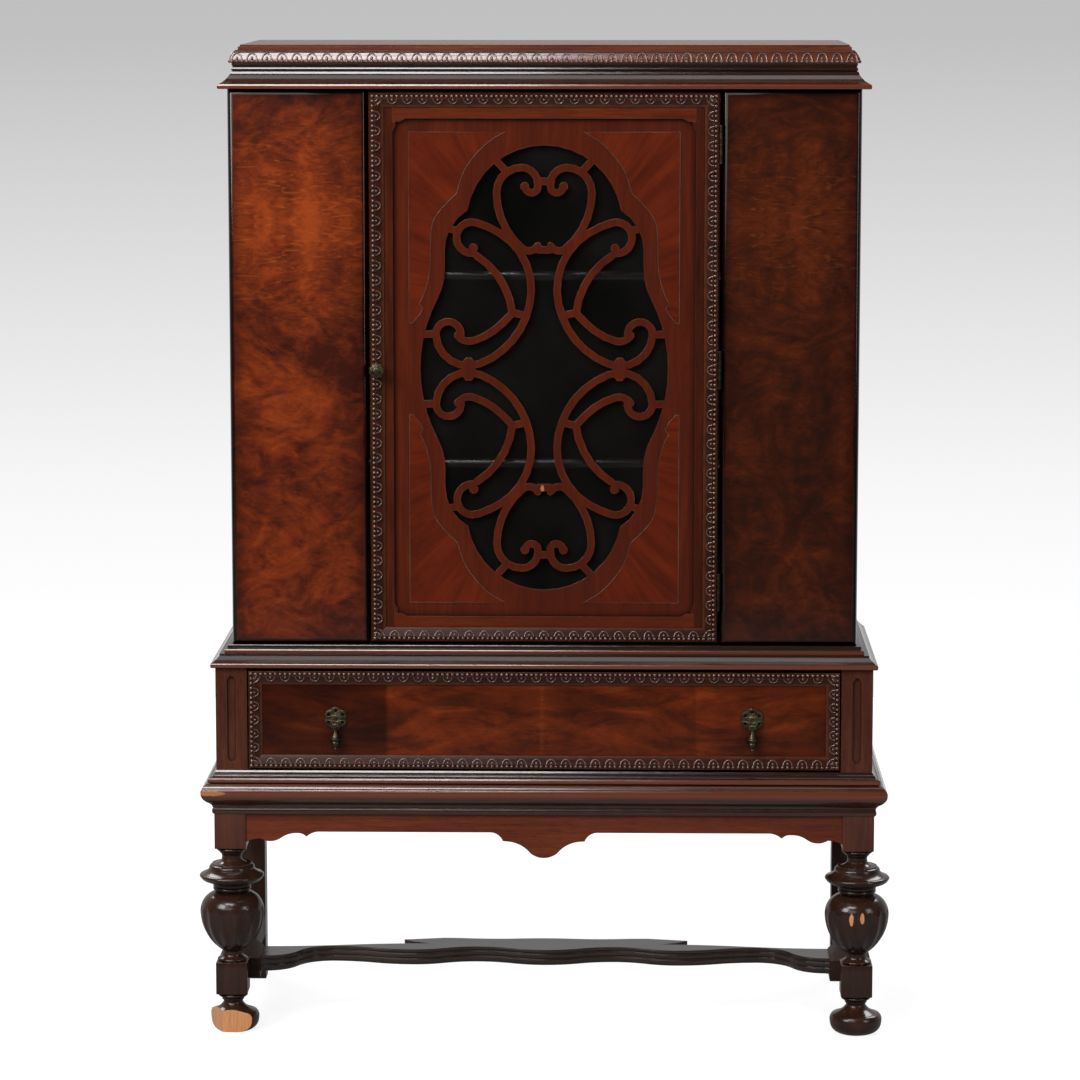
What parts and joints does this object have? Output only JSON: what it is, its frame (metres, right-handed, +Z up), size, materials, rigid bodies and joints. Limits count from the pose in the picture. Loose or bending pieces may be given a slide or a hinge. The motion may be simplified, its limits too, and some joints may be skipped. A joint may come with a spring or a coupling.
{
  "type": "cabinet on stand",
  "caption": "Display cabinet with a pierced scroll door between fixed panels, above a drawer with drop pulls, on a stand with turned urn legs and a shaped stretcher.",
  "frame": {"origin": "on the floor, under the middle of the whole cabinet", "axes": "+Z up, +X to the right of someone who faces the door, +Y towards the back"},
  "size_m": [1.122, 0.427, 1.6],
  "materials": {
    "turned_wood": "gloss",
    "frame_wood": "gloss",
    "moulding_wood": "gloss",
    "carved_wood": "satin",
    "figured_veneer": "gloss",
    "door_veneer": "gloss",
    "inner_wood": "matte",
    "aged_brass": "aged",
    "pane_glass": "clear"
  },
  "bodies": {
    "carcass": {"front_leg_left": "turned_wood", "front_leg_right": "turned_wood", "rear_leg_left": "frame_wood", "rear_leg_right": "frame_wood", "front_apron": "frame_wood", "side_apron_left": "frame_wood", "side_apron_right": "frame_wood", "rear_rail": "inner_wood", "front_stretcher": "frame_wood", "side_stretcher_left": "frame_wood", "side_stretcher_right": "frame_wood", "stand_moulding": "moulding_wood", "base_moulding": "moulding_wood", "drawer_case_bottom": "inner_wood", "drawer_case_side_left": "frame_wood", "drawer_case_side_right": "frame_wood", "drawer_case_back": "inner_wood", "corner_stile_left": "frame_wood", "corner_stile_right": "frame_wood", "drawer_runners": "inner_wood", "waist_board": "frame_wood", "waist_moulding": "moulding_wood", "upper_base_moulding": "moulding_wood", "upper_bottom": "inner_wood", "upper_side_left": "frame_wood", "upper_side_right": "frame_wood", "upper_top": "inner_wood", "upper_back": "inner_wood", "front_panel_left": "figured_veneer", "front_panel_right": "figured_veneer", "shelf_upper": "inner_wood", "shelf_lower": "inner_wood", "shelf_cleats": "inner_wood", "cornice_moulding": "moulding_wood", "cornice_carved_band": "carved_wood", "top_board": "frame_wood", "hinge_leaves_case": "aged_brass"},
    "door": {"door_stile_left": "door_veneer", "door_stile_right": "door_veneer", "door_rail_top": "door_veneer", "door_rail_bottom": "door_veneer", "door_moulding": "carved_wood", "fret_panel": "door_veneer", "glass_pane": "pane_glass", "glass_stops": "moulding_wood", "hinge_leaves_door": "aged_brass"},
    "latch": {"door_knob": "aged_brass", "latch_spindle": "aged_brass", "latch_bar": "aged_brass"},
    "drawer": {"drawer_front": "figured_veneer", "drawer_side_left": "inner_wood", "drawer_side_right": "inner_wood", "drawer_back": "inner_wood", "drawer_bottom": "inner_wood", "drawer_moulding": "carved_wood", "pull_plates": "aged_brass"},
    "drop_left": {"pull_drop_left": "aged_brass"},
    "drop_right": {"pull_drop_right": "aged_brass"}
  },
  "joints": [
    {"name": "door_hinge", "type": "hinge", "parent": "carcass", "child": "door", "pos_m": [0.2805, -0.1637, 1.0845], "axis": [0, 0, 1], "range_deg": [0, 120]},
    {"name": "latch_turn", "type": "hinge", "parent": "door", "child": "latch", "pos_m": [-0.267, -0.1495, 1.0845], "axis": [0, 1, 0], "range_deg": [0, 90]},
    {"name": "drawer_slide", "type": "slide", "parent": "carcass", "child": "drawer", "axis": [0, -1, 0], "range_m": [0, 0.28]},
    {"name": "drop_left_swing", "type": "hinge", "parent": "drawer", "child": "drop_left", "pos_m": [-0.336, -0.195, 0.51188], "axis": [-1, 0, 0], "range_deg": [0, 85]},
    {"name": "drop_right_swing", "type": "hinge", "parent": "drawer", "child": "drop_right", "pos_m": [0.336, -0.195, 0.51188], "axis": [-1, 0, 0], "range_deg": [0, 85]}
  ]
}
